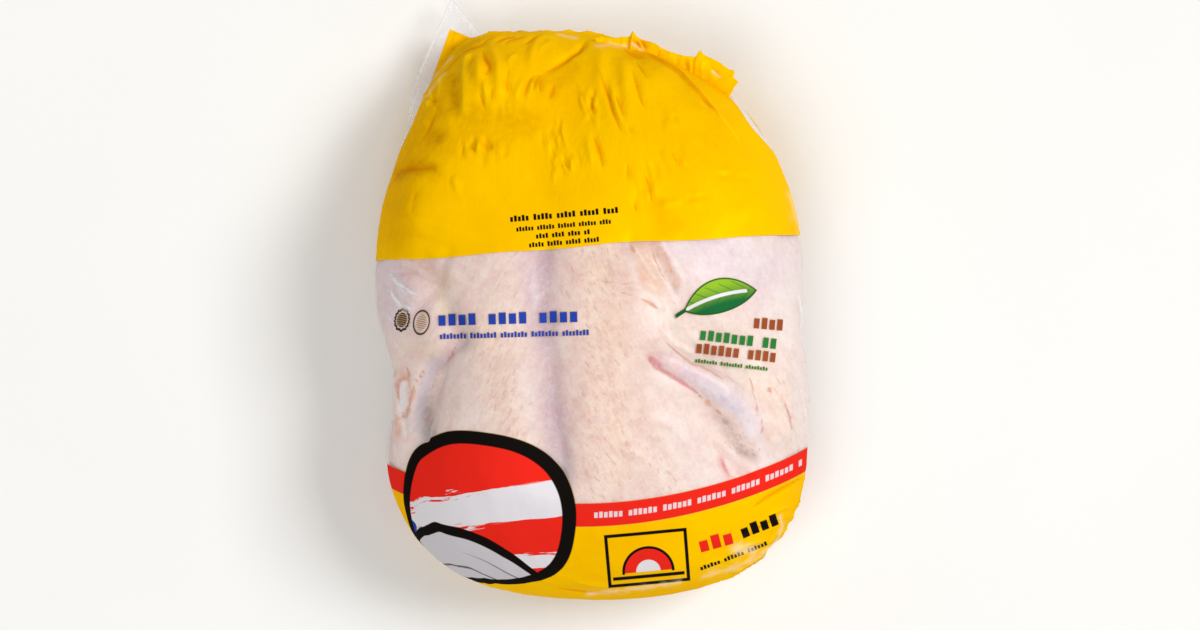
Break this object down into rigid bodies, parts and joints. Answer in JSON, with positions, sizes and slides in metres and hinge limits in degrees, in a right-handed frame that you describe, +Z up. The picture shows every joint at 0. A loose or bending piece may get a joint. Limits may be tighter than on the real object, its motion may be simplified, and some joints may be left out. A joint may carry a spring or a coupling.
{
  "type": "bagged whole raw chicken",
  "caption": "Whole raw chicken lying on its back, breast side up, sealed in a clinging printed poultry bag with a clear window over the breast and wings.",
  "frame": {"origin": "centre of the pack's box on the floor, under the bird's back", "axes": "+Y along the bird from its neck end to its tail end; +Z up through the breast; +X towards the bird's right wing"},
  "size_m": [0.1928, 0.2702, 0.1098],
  "materials": {
    "printed_film": "thin glossy polythene film printed opaque yellow, with a clear window and a red band",
    "clear_film": "thin clear glossy polythene film",
    "skin": "moist raw chicken skin, pale pink with a lilac keel and amber fat, wet sheen"
  },
  "bodies": {
    "root": {"bagged_chicken": "printed_film"}
  },
  "joints": []
}
